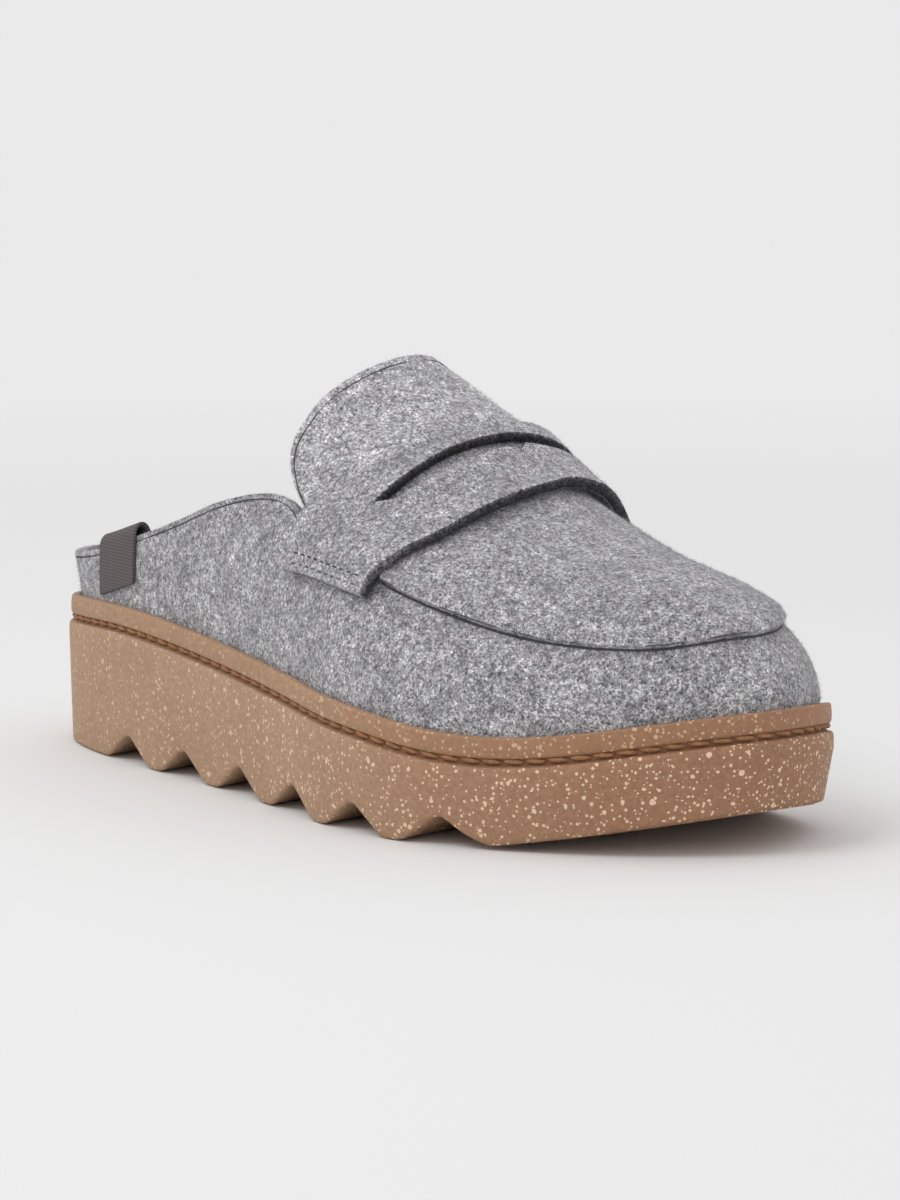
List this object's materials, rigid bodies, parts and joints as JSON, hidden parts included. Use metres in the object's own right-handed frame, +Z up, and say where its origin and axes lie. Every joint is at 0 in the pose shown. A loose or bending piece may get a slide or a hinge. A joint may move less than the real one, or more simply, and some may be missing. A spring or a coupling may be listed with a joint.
{
  "type": "platform slipper",
  "caption": "Felt penny slipper with a low back, tall tongue, slotted strap and apron toe on a thick notched platform sole, right foot.",
  "frame": {"origin": "centre of the bounding box at its bottom, on the floor under the middle of the sole", "axes": "+X toward the toe, +Y toward the medial side, +Z up"},
  "size_m": [0.2634, 0.1036, 0.1093],
  "materials": {
    "sole": "matt tan rubber with cream specks, smooth rim band over a darker stitched groove",
    "footbed": "grey felt over a soft insole",
    "felt": "mottled grey wool felt with short fuzz",
    "label": "bare dark brown-grey ribbon"
  },
  "bodies": {
    "root": {"sole": "sole", "footbed": "footbed", "upper": "felt", "apron": "felt", "strap": "felt", "tongue": "felt", "label": "label"}
  },
  "joints": []
}
